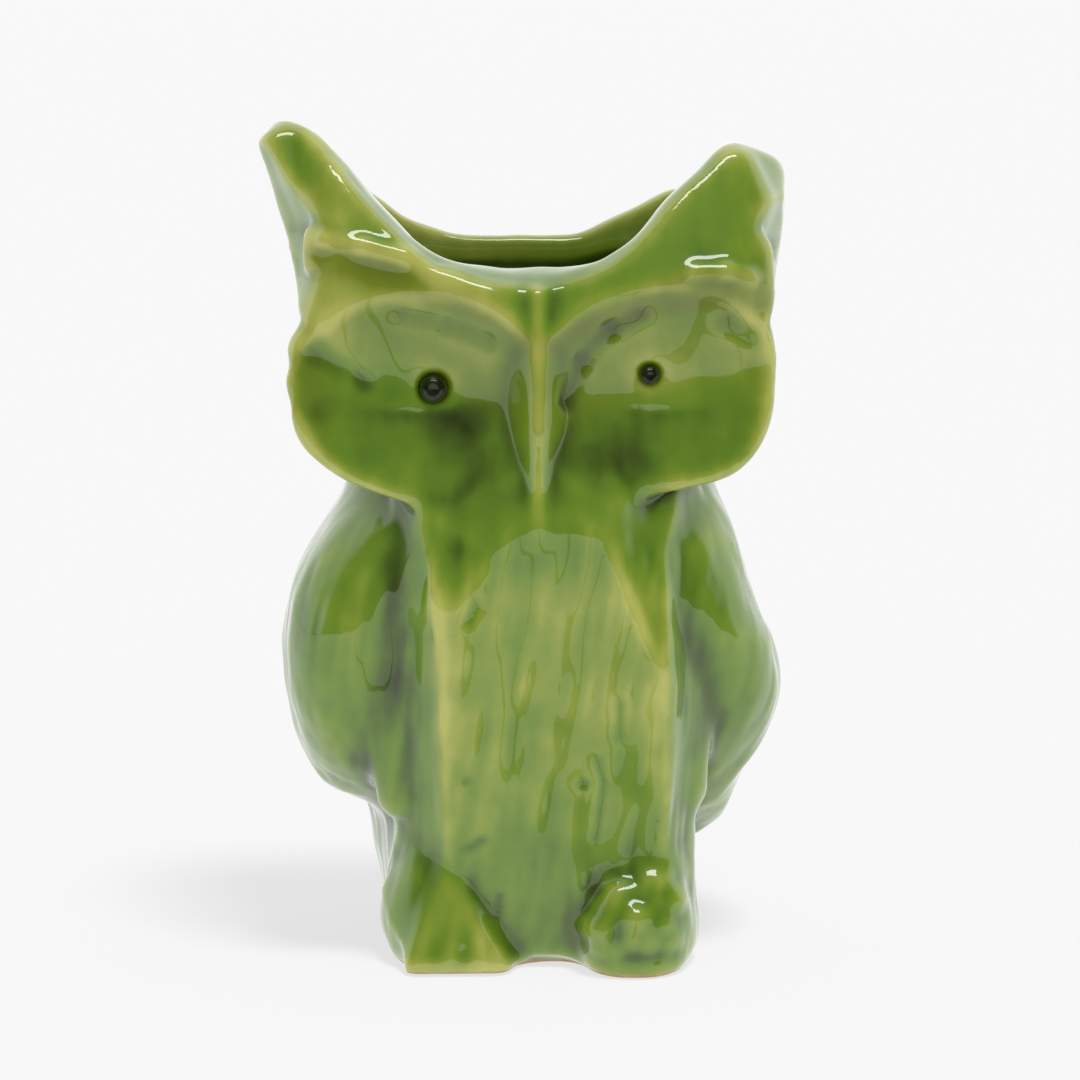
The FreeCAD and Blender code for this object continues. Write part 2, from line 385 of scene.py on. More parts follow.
def foot_wedge():
    """The left foot: a flat three-cornered facet that leans back from the ground to the breast."""
    foot = near("left_foot")
    peak = np.array([foot[0] + 1, low_corner("left_foot")[1] - 1.5, 38.0])
    wedge = 0.3 - Z
    for outward in ((0.03, -0.97, 0.17), (-0.82, -0.57, 0.45), (0.80, -0.25, 0.50)):
        size = math.sqrt(sum(n * n for n in outward))
        a, b, c = (n / size for n in outward)
        wedge = overlap(wedge, a * (X - peak[0]) + b * (Y - peak[1]) + c * (Z - peak[2]), 5)
    outside = peak[0] - 20 + 0.3 * (20 - Z) - X
    return np.maximum(wedge, np.maximum(Y - foot[1], outside))


def mask_slab(front, taper):
    """The face mask: a slab behind the relief, with the outline of the CAD face."""
    nose_x, chin = nose_place()
    level = cell_of(1, FACE_PLANE)
    outline = np.minimum.reduce([field(name)[:, level, :] for name in FACE])[:, None, :]
    beside_nose = np.maximum(np.abs(X - nose_x) - 14, np.abs(Z - chin - 45) - 39)
    under_brows = np.maximum(np.abs(X - nose_x) - 66, np.abs(Z - chin - 66) - 26)
    outline = np.minimum(outline, np.minimum(beside_nose, under_brows))
    slab = overlap(front, outline + 0.25 * taper, 4.5)
    return overlap(slab, Y - (low_corner("face_mask")[1] + 42), 5)


def forehead_slab(front, taper, vessel):
    """The forehead between the ears, no wider than the vessel's front half and thin over the mouth."""
    nose_x, chin = nose_place()
    levels = chin + np.array([60, 68, 75, 84, 93, 100, 103, 113, 117, 127, 138])
    left_side = nose_x - np.array([86, 84, 79, 75.6, 75, 72.3, 73, 77, 79.4, 84, 90])
    left_side = soft_curve(AXES[2], levels, left_side)[None, None, :]
    levels = chin + np.array([60, 70, 80, 86.5, 90.5, 96, 100.5, 111, 128.5, 140])
    right_side = nose_x + np.array([78, 78, 77.5, 74, 69, 67.5, 70.5, 73.7, 64.5, 60])
    right_side = soft_curve(AXES[2], levels, right_side)[None, None, :]
    behind_wall = Y - low_corner("head_wall")[1]
    sides = np.maximum(left_side - X - 0.45 * behind_wall, X - right_side - 0.35 * behind_wall)
    middle = cell_of(1, 0)
    sides = np.maximum(sides / 1.1, vessel[:, :middle, :].min(axis=1)[:, None, :])
    inside = (Y + 40 - 34 * smoothstep(np.abs(X - nose_x), 32, 68)) / 1.6
    under = near("left_eye")[2] + 16 + 0.8 * taper - Z
    window = np.maximum(sides, np.maximum(under, inside))
    window = np.maximum(window, Z - rim_height(vessel)[:, None, None] - 0.5)
    return overlap(front, window, 2.2)


def breast_bib(breast, round_off):
    """The breast between its two upright corners, which dives under the chin."""
    chin = nose_place()[1]
    dive = 0.02 * np.maximum(AXES[2][None, :] - chin - 2, 0) ** 2
    bib = np.maximum(behind(as_block(breast + round_off + dive)), Y + 25)
    height = np.maximum(4 - Z, Z - chin - 30)
    return np.maximum(bib, np.maximum(np.abs(X - near("breast_apron")[0]) - 50, height))


def sculpt_face(clay, vessel):
    """The clay with its face, breast and left foot joined on, and two pits pressed for the eyes."""
    breast, round_off = breast_relief()
    front = behind(blur(as_block(face_relief(vessel, breast)), 1.1, along=(0, 2)))
    taper = np.maximum(Y - low_corner("head_wall")[1], 0)
    face = np.minimum(mask_slab(front, taper), forehead_slab(front, taper, vessel))
    for piece, blend in (
        (face, 4),
        (valley_fill(), 7),
        (breast_bib(breast, round_off), 5),
        (foot_wedge(), 3.5),
    ):
        clay = join(clay, piece, blend)
    for name, forward, radius in (("left_eye", 1.6, 6.2), ("right_eye", 1.3, 4.5)):
        centre = near(name, y=-forward)
        cut, axes = local(centre - 14, centre + 14)
        clay[cut] = carve(clay[cut], capsule(axes, centre, centre, radius), 1.2)
    return clay


def small_marks(clay):
    """Tool marks and dents that the maker left on the breast."""
    middle = near("breast_apron")
    for path, radius, depth in (  # the paths run from the middle of the breast
        ([(12.5, -18)], 2.6, 1.5),
        ([(17, -9), (19.5, -17), (17, -37)], 1.3, 0.9),
        ([(-26, -17)], 1.6, 0.7),
        ([(-26, -41), (-21, -38)], 2.0, 1.0),
        ([(-15, -58), (-15, -64)], 2.0, 0.9),
        ([(-25.5, 37), (-22, 43)], 1.6, 0.9),
        ([(25, 10), (24.5, -2)], 1.4, 0.9),
    ):
        stroke(clay, [(middle[0] + x, middle[2] + z) for x, z in path], radius, depth, 1.0)
    return clay


def face_marks(clay):
    """Shallow presses in the upper dishes, and the rolled outer ends of the brows."""
    nose_x, chin = nose_place()
    for path, radius, depth in (  # the paths run from the lower end of the nose
        ([(-72, 61), (-64, 56)], 6.0, 0.9),
        ([(-59, 53), (-57, 51)], 4.0, 0.6),
        ([(-45, 73), (-36, 71)], 4.0, 0.8),
        ([(-31, 69), (-18, 64)], 4.5, 0.9),
        ([(33, 73), (24, 68), (15, 58), (10, 46)], 4.0, 0.8),
        ([(60, 70), (68, 66)], 5.0, 0.6),
    ):
        stroke(clay, [(nose_x + x, chin + z) for x, z in path], radius, depth, 2.0)
    left_roll, right_roll = [(-70, 98.5), (-58, 96.5), (-44, 93)], [(50, 88.5), (60, 88.5), (68, 86)]
    for path in (left_roll, right_roll):
        stroke(clay, [(nose_x + x, chin + z) for x, z in path], 3.2, 1.2, 2.2, add=True)
    return clay


def pulled_rim(vessel):
    """The rim as it was pulled by hand: lower in front, and higher behind the right ear."""
    x, y = AXES[0][:, None], AXES[1][None, :]
    at_back = smoothstep(y, 0, 20)
    middle = 1 - smoothstep(np.abs(x), 32, 46)
    behind_ear = smoothstep(x, 12, 32) * (1 - smoothstep(x, 46, 58))
    lift = at_back * (1.4 * middle + 4.5 * behind_ear) - (1 - at_back) * 3.4 * middle
    level = np.clip(np.arange(SHAPE[2]) - lift[:, :, None] / VOXEL, 0, SHAPE[2] - 2)
    cell = np.floor(level).astype(int)
    part = (level - cell).astype(np.float32)
    here, above = (np.take_along_axis(vessel, index, 2) for index in (cell, cell + 1))
    return np.where(Z > low_corner("head_wall")[2] + 25, here * (1 - part) + above * part, vessel)


# ---------------------------------------------------------------- from field to mesh
def surface(cells):
    """The points and quads of the surface where a field is zero."""
    grid = openvdb.FloatGrid(BAND)
    grid.transform = TRANSFORM
    grid.copyFromArray(np.clip(cells, -BAND, BAND), ijk=tuple(int(n) for n in CELL_LOW))
    grid.gridClass = openvdb.GridClass.LEVEL_SET
    points, quads = grid.convertToQuads(0.0)
    return points.astype(float), quads[:, ::-1].astype(np.int32)


class Skin:
    """A closed quad mesh, with what is needed to smooth and measure it."""

    def __init__(self, points, quads):
        self.points, self.quads = points, quads
        pairs = np.concatenate([quads[:, [i, (i + 1) % 4]] for i in range(4)])
        self.edges = np.unique(np.sort(pairs, axis=1), axis=0)
        self.degree = np.bincount(self.edges.ravel(), minlength=len(points)).astype(float)

    def smoothed(self, values, rounds, strength=0.5):
        """Values at the points, drawn towards their neighbours' mean some times over."""
        a, b = self.edges.T
        values = values.reshape(len(self.points), -1)
        for _ in range(rounds):
            total = np.empty_like(values)
            for k in range(values.shape[1]):
                column = values[:, k]
                total[:, k] = np.bincount(a, column[b], len(values))
                total[:, k] += np.bincount(b, column[a], len(values))
            values = values + strength * (total / self.degree[:, None] - values)
        return values

    def normals(self):
        """The outward direction at every point."""
        p = self.points[self.quads]
        face = np.cross(p[:, 2] - p[:, 0], p[:, 3] - p[:, 1])
        total = np.empty_like(self.points)
        for k in range(3):
            total[:, k] = np.bincount(self.quads.ravel(), np.repeat(face[:, k], 4), len(self.points))
        return total / np.maximum(np.linalg.norm(total, axis=1), 1e-9)[:, None]

    def bulge(self, rounds):
        """How far each point stands proud of the skin smoothed by some rounds, in millimetres."""
        return ((self.points - self.smoothed(self.points, rounds)) * self.normals()).sum(axis=1)


LATTICE = 64  # the noise repeats after so many lattice steps
UPRIGHT_TILT = (0.09, 0.12, 0.65)  # turns the lattice of stretched noise, which stays nearly upright
FREE_TILT = (0.6, 0.5, 0.65)  # turns the lattice of even noise, so that it lines up with nothing


def lumps(points, size, seed):
    """Smooth noise from -1 to 1; size is the spacing of its lattice, one number or one per axis."""
    lattice = np.random.default_rng(seed).uniform(-1, 1, (LATTICE,) * 3)
    tilt = Euler(UPRIGHT_TILT if np.ndim(size) else FREE_TILT).to_matrix()
    place = points @ np.array(tilt) / np.asarray(size, float) + 1000.0 + seed * 0.37
    cell = np.floor(place).astype(int)
    t = place - cell
    t = t * t * (3 - 2 * t)
    total = np.zeros(len(points))
    for corner in range(8):
        step = np.array([corner & 1, corner >> 1 & 1, corner >> 2 & 1])
        weight = np.prod(np.where(step, t, 1 - t), axis=1)
        i, j, k = ((cell + step) % LATTICE).T
        total += weight * lattice[i, j, k]
    return total


def hand_modelling(skin):
    """The waviness of pinched and stroked clay, which fades out at the foot."""
    p = skin.points
    normals = skin.normals()
    mask_low, mask_high = low_corner("face_mask"), high_corner("face_mask")
    from_nose = np.abs(p[:, 0] - nose_place()[0])
    calm = smoothstep(-normals[:, 1], 0.3, 0.9) * (1 - smoothstep(from_nose, 55, 72))
    shift = (0.8 - 0.5 * calm) * lumps(p, 24, 1) + (0.40 - 0.28 * calm) * lumps(p, 10, 2)

    # Upright strokes below the face.
    below_face = 1 - smoothstep(p[:, 2], mask_low[2] - 5, mask_low[2] + 25)
    outward = smoothstep(-normals[:, 1], -0.6, 0.2)
    strokes = 0.45 * lumps(p, (7, 7, 42), 3) + 0.25 * lumps(p, (3.5, 3.5, 22), 4)
    shift += below_face * outward * strokes

    # The wings are rougher than the breast.
    wings = smoothstep(np.abs(p[:, 0] - near("breast_apron")[0]), 40, 52) * below_face
    shift += wings * (1.3 * lumps(p, (26, 26, 34), 7) + 0.5 * lumps(p, (9, 9, 30), 8))

    # The mask's left edge is pinched.
    pinched = 1 - smoothstep(p[:, 0], mask_low[0] + 4, mask_low[0] + 22)
    pinched *= smoothstep(p[:, 2], mask_low[2] + 18, mask_low[2] + 34)
    pinched *= 1 - smoothstep(p[:, 2], mask_high[2] - 14, mask_high[2] + 2)
    shift += pinched * 1.5 * lumps(p, 9, 5)

    # The right foot is dented by fingers.
    at_foot = 1 - smoothstep(np.abs(p[:, 0] - near("right_foot")[0]), 14, 24)
    at_foot *= 1 - smoothstep(p[:, 2], 30, 42)
    shift += at_foot * 1.7 * lumps(p, (8, 8, 7), 6)

    # The foot stays flat on the ground.
    shift *= smoothstep(p[:, 2], 1.5, 9)
    skin.points = p + normals * shift[:, None]
    skin.points = skin.smoothed(skin.points, 1)
    skin.points[:, 2] = np.maximum(skin.points[:, 2], 0)


# ---------------------------------------------------------------- where the glaze is deep or thin, and the painted reflection
def glaze_off_ridges(skin):
    """Glaze runs off every ridge and gathers in every hollow, small or broad."""
    fine, broad, wide = skin.bulge(3), skin.bulge(40), skin.bulge(220)
    return -(np.tanh(fine / 0.10) * 0.25 + np.tanh(broad / 0.8) * 0.45 + np.tanh(wide / 3.0) * 0.3)


def painted_reflection_and_spots(skin):
    """Lighter on the breast and high in the dishes, a painted reflection of the bright table and softbox;
    darker beside the nose, low on the right foot and on the wings; lighter above the left brow.
    """
    x, z = skin.points[:, 0], skin.points[:, 2]
    nose_x, chin = nose_place()
    front = smoothstep(-skin.normals()[:, 1], 0.2, 0.8)
    aside = np.abs(x - near("breast_apron")[0])
    # Painted reflection: lighter on the breast, the more so towards its top.
    breast = (1 - smoothstep(aside, 34, 44)) * (1 - smoothstep(z, chin - 22, chin))
    breast *= 0.1 + 0.4 * smoothstep(z, 30, chin - 40)
    drop = brow_ridge(x) - z
    # Painted reflection: the dishes are lighter high up, under the brow.
    dish = smoothstep(drop, 8, 16) * (1 - smoothstep(drop, 30, 48))
    dish *= smoothstep(np.abs(x - nose_x), 6, 20)
    left_dark_spot = np.exp(-(((x - nose_x + 25) / 11) ** 2) - ((z - chin - 37) / 11) ** 2)
    right_dark_spot = np.exp(-(((x - nose_x - 30) / 10) ** 2) - ((z - chin - 30) / 9) ** 2)
    toes = np.exp(-(((x - near("right_foot")[0]) / 20) ** 2)) * (1 - smoothstep(z, 24, 36))
    wing = smoothstep(aside, 46, 54) * (1 - smoothstep(z, chin - 20, chin + 5))
    brow = smoothstep(drop, -20, -4) * (1 - smoothstep(drop, 2, 6)) * smoothstep(nose_x - x, 0, 25)
    darker_spots = 0.5 * left_dark_spot + 0.3 * right_dark_spot + 0.35 * toes
    # Taking breast and dish away lightens the colour as painted reflection; the other terms darken or
    # lighten single spots.
    return front * (darker_spots - breast - 0.4 * dish - 0.3 * brow) + 0.18 * wing


def olive_parts(skin):
    """Where the glaze is thin and olive: the upright face of the brows and the edges of the mask."""
    p = skin.points
    from_nose = np.abs(p[:, 0] - nose_place()[0])
    drop = brow_ridge(p[:, 0]) - p[:, 2]
    depth = 9 + 6 * smoothstep(from_nose, 10, 55)
    band = smoothstep(drop, -1.5, 1.0) * (1 - smoothstep(drop, depth - 3, depth + 2))
    lobe_edge = smoothstep(from_nose, 62, 80) * (p[:, 2] > low_corner("face_mask")[2] + 10)
    dish = smoothstep(drop, 4, 12) * (1 - smoothstep(drop, 26, 46))
    facing = smoothstep(-skin.normals()[:, 1], 0.2, 0.7) * (p[:, 1] < low_corner("head_wall")[1] + 3)
    return np.maximum.reduce([band, 0.6 * lobe_edge, 0.55 * dish]) * facing


vessel = pulled_rim(field(*VESSEL))
clay = small_marks(face_marks(sculpt_face(sculpt_body(vessel), vessel)))
skin = Skin(*surface(clay))
skin.points = skin.smoothed(skin.points, 4)
hand_modelling(skin)
# Glaze depth, with the painted reflection on the breast and in the dishes folded in.
pool_and_painted_reflection = glaze_off_ridges(skin) + painted_reflection_and_spots(skin)
olive = olive_parts(skin)


# ---------------------------------------------------------------- the members of the owl
def mesh_object(name, points, faces, attributes):
    """A smooth mesh object from points in millimetres, with some values kept for each point."""
    mesh = bpy.data.meshes.new(name)
    sides = faces.shape[1]
    mesh.vertices.add(len(points))
    mesh.vertices.foreach_set("co", (points * MM).ravel())
    mesh.loops.add(len(faces) * sides)
    mesh.loops.foreach_set("vertex_index", faces.ravel())
    mesh.polygons.add(len(faces))
    mesh.polygons.foreach_set("loop_start", np.arange(len(faces)) * sides)
    mesh.update(calc_edges=True)
    mesh.shade_smooth()
    for key, values in attributes.items():
        mesh.attributes.new(key, "FLOAT", "POINT").data.foreach_set("value", values.astype(np.float32))
    obj = bpy.data.objects.new(name, mesh)
    bpy.context.scene.collection.objects.link(obj)
    return obj


def glazed_skin(skin, pool_and_painted_reflection, olive):
    """The whole closed skin as a bmesh; every point keeps its glaze depth, with the painted reflection in
    it, and its own normal.
    """
    obj = mesh_object("skin", skin.points, skin.quads, {"pool_and_painted_reflection": pool_and_painted_reflection, "olive": olive})
    outward = obj.data.attributes.new("outward", "FLOAT_VECTOR", "POINT")
    outward.data.foreach_set("vector", skin.normals().astype(np.float32).ravel())
    solid = bmesh.new()
    solid.from_mesh(obj.data)
    bpy.data.objects.remove(obj)
    return solid


def cut(solid, point, facing):
    """A closed solid cut by a plane: the part that the plane faces, and the rest, both closed again."""
    facing = Vector(facing).normalized()
    parts = []
    for side in (1, -1):
        part = solid.copy()
        found = bmesh.ops.bisect_plane(
            part,
            geom=part.verts[:] + part.edges[:] + part.faces[:],
            dist=1e-7,
            plane_co=Vector(point) * MM,
            plane_no=facing,
            clear_inner=side > 0,
            clear_outer=side < 0,
        )
        rim = [e for e in found["geom_cut"] if isinstance(e, bmesh.types.BMEdge)]
        for face in bmesh.ops.triangle_fill(part, edges=rim, use_beauty=True)["geom"]:
            if isinstance(face, bmesh.types.BMFace):
                face.smooth = False
                face.normal_update()
                if face.normal.dot(facing) * side > 0:
                    face.normal_flip()
        parts.append(part)
    solid.free()
    return parts


def member(node, solids, material):
    """One named member of the owl from its cut solids; its skin keeps the normals of the whole."""
    mesh = bpy.data.meshes.new(node + "_glazed")
    joined = solids[0]
    for other in solids[1:]:
        other.to_mesh(mesh)
        joined.from_mesh(mesh)
        other.free()
    joined.to_mesh(mesh)
    joined.free()
    outward = np.empty(len(mesh.vertices) * 3, np.float32)
    mesh.attributes["outward"].data.foreach_get("vector", outward)
    corners = np.empty(len(mesh.loops), np.int32)
    mesh.loops.foreach_get("vertex_index", corners)
    normals = outward.reshape(-1, 3)[corners]
    smooth = np.empty(len(mesh.polygons), bool)
    mesh.polygons.foreach_get("use_smooth", smooth)
    sides = np.empty(len(mesh.polygons), np.int32)
    mesh.polygons.foreach_get("loop_total", sides)
    normals[~np.repeat(smooth, sides)] = 0
    mesh.normals_split_custom_set(normals.tolist())
    mesh.attributes.remove(mesh.attributes["outward"])
    mesh.materials.append(material)
    obj = bpy.data.objects.new(node + "_glazed", mesh)
    bpy.context.scene.collection.objects.link(obj)
    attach(obj, "root")
    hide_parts(node)


def divide(solid):
    """The solids of the owl's members, cut along planes near the seams of the CAD nodes."""
    parts = {}
    nose_x = nose_place()[0]
    upper, lower = cut(solid, (0, 0, low_corner("head_wall")[2]), (0, 0, 1))
    at = (high_corner("left_ear")[0] - 8, 0, low_corner("left_ear")[2] + 10)
    parts["left_ear"], upper = cut(upper, at, (-0.72, 0, 0.69))
    at = (low_corner("right_ear")[0] + 6, 0, low_corner("right_ear")[2] + 7)
    parts["right_ear"], upper = cut(upper, at, (0.72, 0, 0.69))
    face, parts["head_wall"] = cut(upper, low_corner("head_wall") + 0.9, (0, -1, 0))
    right, face = cut(face, (nose_x + 8, 0, 0), (1, 0, 0))
    parts["beak_ridge"], left = cut(face, (nose_x - 8, 0, 0), (1, 0, 0))
    parts["left_brow"], left = cut(left, near("left_brow", z=-6), (0.39, 0, 0.92))
    parts["right_brow"], right = cut(right, near("right_brow", z=-11), (-0.33, 0, 0.94))
    lower, parts["floor_slab"] = cut(lower, (0, 0, 5), (0, 0, 1))
    at = low_corner("body_wall") + np.array([-1.5, 0, 5])
    parts["left_wing"], lower = cut(lower, at, (-0.994, 0, 0.110))
    at = high_corner("body_wall") + np.array([-11, 0, 0])
    parts["right_wing"], lower = cut(lower, at, (0.996, 0, 0.085))
    at = (low_corner("left_foot")[0] + 33, -50, 5)
    parts["left_foot"], lower = cut(lower, at, (-0.563, -0.769, -0.301))
    parts["right_foot"], lower = cut(lower, near("right_foot", y=-17, z=15), (0.62, -0.62, -0.48))
    parts["breast_apron"], parts["body_wall"] = cut(lower, low_corner("body_wall") + 1.37, (0, -1, 0))
    parts = {node: [part] for node, part in parts.items()}
    parts["face_mask"] = [left, right]
    return parts


# ---------------------------------------------------------------- materials
# The light end of these tones also paints the reflection on the breast and in the dishes.
GLAZE_TONES = [  # from the thin glaze on a ridge to the deep glaze in a hollow
    (0.04, (0.46, 0.48, 0.100)),
    (0.22, (0.26, 0.335, 0.035)),
    (0.37, (0.160, 0.270, 0.017)),
    (0.52, (0.110, 0.215, 0.012)),
    (0.64, (0.070, 0.130, 0.008)),
    (0.80, (0.032, 0.050, 0.005)),
]
OLIVE_TONES = [(0.1, (0.42, 0.42, 0.09)), (0.4, (0.17, 0.215, 0.010)), (0.8, (0.06, 0.095, 0.004))]
CLAY_TONES = [(0.3, (0.33, 0.20, 0.07)), (0.7, (0.50, 0.34, 0.15))]
# The pellet's near-black tones are partly deep glaze and partly painted shade of a deep pit.
PELLET_GLAZE_AND_SHADE_TONES = [(0.3, (0.004, 0.007, 0.001)), (0.75, (0.022, 0.032, 0.004))]


def new_material(name):
    """A node material: itself, its tree and its shader."""
    material = bpy.data.materials.new(name)
    material.use_nodes = True
    tree = material.node_tree
    return material, tree, tree.nodes["Principled BSDF"]


def add_noise(tree, coords, scale, detail, stretch=(1, 1, 1)):
    """Cloudy noise over the object, drawn out along an axis where its stretch is small."""
    mapping = tree.nodes.new("ShaderNodeMapping")
    mapping.inputs["Scale"].default_value = stretch
    noise = tree.nodes.new("ShaderNodeTexNoise")
    noise.inputs["Scale"].default_value = scale
    noise.inputs["Detail"].default_value = detail
    tree.links.new(coords, mapping.inputs["Vector"])
    tree.links.new(mapping.outputs[0], noise.inputs["Vector"])
    return noise.outputs["Fac"]


def multiply_add(tree, value, factor, offset):
    """value * factor + offset, where the offset is a number or another node's output."""
    node = tree.nodes.new("ShaderNodeMath")
    node.operation = "MULTIPLY_ADD"
    tree.links.new(value, node.inputs[0])
    node.inputs[1].default_value = factor
    if isinstance(offset, float):
        node.inputs[2].default_value = offset
    else:
        tree.links.new(offset, node.inputs[2])
    return node.outputs[0]


def ramp(tree, value, stops):
    """A colour for a value, from a list of places and colours."""
    node = tree.nodes.new("ShaderNodeValToRGB")
    elements = node.color_ramp.elements
    while len(elements) < len(stops):
        elements.new(0.5)
    for element, (place, colour) in zip(elements, stops):
        element.position = place
        element.color = (*colour, 1)
    tree.links.new(value, node.inputs[0])
    return node.outputs["Color"]


def clear_coat(shader, roughness, coat_ior):
    """A dull body under a smooth, clear coat of glass."""
    shader.inputs["Roughness"].default_value = roughness
    shader.inputs["Specular IOR Level"].default_value = 0.15
    shader.inputs["Coat Weight"].default_value = 1.0
    shader.inputs["Coat Roughness"].default_value = 0.02
    shader.inputs["Coat IOR"].default_value = coat_ior


def glaze_material(name):
    """Thin and yellow where it ran off ridges, dark olive where it pooled; the same tones also paint the
    reflection that lightens the breast and the dishes.
    """
    material, tree, shader = new_material(name)
    coords = tree.nodes.new("ShaderNodeTexCoord").outputs["Object"]
    # This attribute holds the glaze depth and the painted reflection.
    attribute = tree.nodes.new("ShaderNodeAttribute")
    attribute.attribute_name = "pool_and_painted_reflection"
    cloud = add_noise(tree, coords, 38, 3)
    streak = add_noise(tree, coords, 150, 3, (1, 1, 0.14))
    mottle = add_noise(tree, coords, 95, 4)
    depth = multiply_add(tree, attribute.outputs["Fac"], 0.42, 0.12)
    depth = multiply_add(tree, cloud, 0.40, depth)
    depth = multiply_add(tree, streak, 0.16, depth)
    depth = multiply_add(tree, mottle, 0.16, depth)
    colour = ramp(tree, depth, GLAZE_TONES)
    olive = tree.nodes.new("ShaderNodeAttribute")
    olive.attribute_name = "olive"
    thin = ramp(tree, depth, OLIVE_TONES)
    blend = tree.nodes.new("ShaderNodeMix")
    blend.data_type = "RGBA"
    tree.links.new(multiply_add(tree, olive.outputs["Fac"], 0.85, 0.0), blend.inputs["Factor"])
    tree.links.new(colour, blend.inputs[6])
    tree.links.new(thin, blend.inputs[7])
    tree.links.new(blend.outputs[2], shader.inputs["Base Color"])
    shader.inputs["IOR"].default_value = 1.5
    clear_coat(shader, 0.35, 1.60)
    return material


def wiped_foot_material():
    """Glaze down to a wiped line just above the ground, and bare fired clay under it."""
    material = glaze_material("bare_foot")
    tree = material.node_tree
    coords = tree.nodes.new("ShaderNodeTexCoord").outputs["Object"]
    clay = tree.nodes.new("ShaderNodeBsdfPrincipled")
    clay.inputs["Roughness"].default_value = 0.8
    tone = ramp(tree, add_noise(tree, coords, 300, 4), CLAY_TONES)
    tree.links.new(tone, clay.inputs["Base Color"])
    split = tree.nodes.new("ShaderNodeSeparateXYZ")
    tree.links.new(coords, split.inputs[0])
    line = tree.nodes.new("ShaderNodeMapRange")
    line.inputs["From Min"].default_value = 0.8 * MM
    line.inputs["From Max"].default_value = 1.3 * MM
    wavy = multiply_add(tree, add_noise(tree, coords, 90, 2), -1.2 * MM, split.outputs["Z"])
    tree.links.new(wavy, line.inputs["Value"])
    both = tree.nodes.new("ShaderNodeMixShader")
    tree.links.new(line.outputs[0], both.inputs["Fac"])
    tree.links.new(clay.outputs[0], both.inputs[1])
    tree.links.new(tree.nodes["Principled BSDF"].outputs[0], both.inputs[2])
    tree.links.new(both.outputs[0], tree.nodes["Material Output"].inputs["Surface"])
    return material


def dark_glaze_and_pit_shade_material():
    """Glaze pooled so deep that it is almost black; the near-black also paints the shade of a deep pit.
    """
    material, tree, shader = new_material("dark_glaze")
    coords = tree.nodes.new("ShaderNodeTexCoord").outputs["Object"]
    colour = ramp(tree, add_noise(tree, coords, 420, 3), PELLET_GLAZE_AND_SHADE_TONES)
    tree.links.new(colour, shader.inputs["Base Color"])
    clear_coat(shader, 0.3, 1.35)
    return material


DARK_GLAZE_AND_PIT_SHADE = dark_glaze_and_pit_shade_material()


def eye(node, piece):
    """A pressed pellet under deep pooled glaze, dished a little on its front; its near-black colour also
    paints the shade of a deep pit.
    """
    low, high = low_corner(node), high_corner(node)
    centre, radius = (low + high) / 2, (high[0] - low[0]) / 2
    rings, sides = 28, 48
    flatness, dish_depth, dish_width = 0.92, 0.30, 5
    points = []
    for i in range(rings + 1):
        tilt = math.pi * i / rings
        for j in range(sides):
            turn = 2 * math.pi * j / sides
            across = math.sin(tilt) * np.array([math.cos(turn), math.sin(turn)])
            forward = math.cos(tilt)
            dish = dish_depth * math.exp(-((across @ across) * dish_width)) if forward > 0 else 0.0
            points.append(centre + radius * np.array([across[0], -flatness * forward + dish, across[1]]))
    faces = []
    for i in range(rings):
        for j in range(sides):
            k = (j + 1) % sides
            faces.append((i * sides + j, (i + 1) * sides + j, (i + 1) * sides + k, i * sides + k))
    points = np.array(points)
    points += 0.25 * lumps(points, 4, 9)[:, None] * (points - centre) / radius
    obj = mesh_object(piece, points, np.array(faces, np.int32), {})
    weld = bmesh.new()
    weld.from_mesh(obj.data)
    bmesh.ops.remove_doubles(weld, verts=weld.verts, dist=1e-6)
    bmesh.ops.recalc_face_normals(weld, faces=weld.faces)
    weld.to_mesh(obj.data)
    weld.free()
    obj.data.shade_smooth()
    obj.data.materials.append(DARK_GLAZE_AND_PIT_SHADE)
    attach(obj, "root")
    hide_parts(node)


eye("left_eye", "left_eye_pellet")
eye("right_eye", "right_eye_pellet")

GREEN_GLAZE = glaze_material("green_glaze")
for node, solids in divide(glazed_skin(skin, pool_and_painted_reflection, olive)).items():
    if node == "floor_slab":
        member(node, solids, wiped_foot_material())
    else:
        member(node, solids, GREEN_GLAZE)


# ---------------------------------------------------------------- studio
def plane(name, size_x, size_y, centre, material):
    """A level sheet that belongs to the studio and not to the owl."""
    mesh = bpy.data.meshes.new(name)
    x, y = size_x / 2, size_y / 2
    mesh.from_pydata([(-x, -y, 0), (x, -y, 0), (x, y, 0), (-x, y, 0)], [], [(0, 1, 2, 3)])
    obj = bpy.data.objects.new(name, mesh)
    obj.location = centre
    mesh.materials.append(material)
    bpy.context.scene.collection.objects.link(obj)
    return obj


def only_in_reflections(obj):
    """Leaves a card out of everything but the reflections in the glaze."""
    for ray in ("camera", "diffuse", "shadow", "transmission"):
        setattr(obj, "visible_" + ray, False)


def pale_paper(name, colour, glow):
    """A matte sheet lifted by a little light of its own, which keeps the shadow on it pale."""
    material, tree, shader = new_material(name)
    tree.nodes.remove(shader)
    paper = tree.nodes.new("ShaderNodeBsdfDiffuse")
    paper.inputs["Color"].default_value = (*colour, 1)
    light = tree.nodes.new("ShaderNodeEmission")
    light.inputs["Strength"].default_value = glow
    both = tree.nodes.new("ShaderNodeAddShader")
    tree.links.new(paper.outputs[0], both.inputs[0])
    tree.links.new(light.outputs[0], both.inputs[1])
    tree.links.new(both.outputs[0], tree.nodes["Material Output"].inputs["Surface"])
    return material


def matte(name, colour):
    """A plain matte sheet."""
    material, tree, shader = new_material(name)
    tree.nodes.remove(shader)
    paper = tree.nodes.new("ShaderNodeBsdfDiffuse")
    paper.inputs["Color"].default_value = (*colour, 1)
    tree.links.new(paper.outputs[0], tree.nodes["Material Output"].inputs["Surface"])
    return material


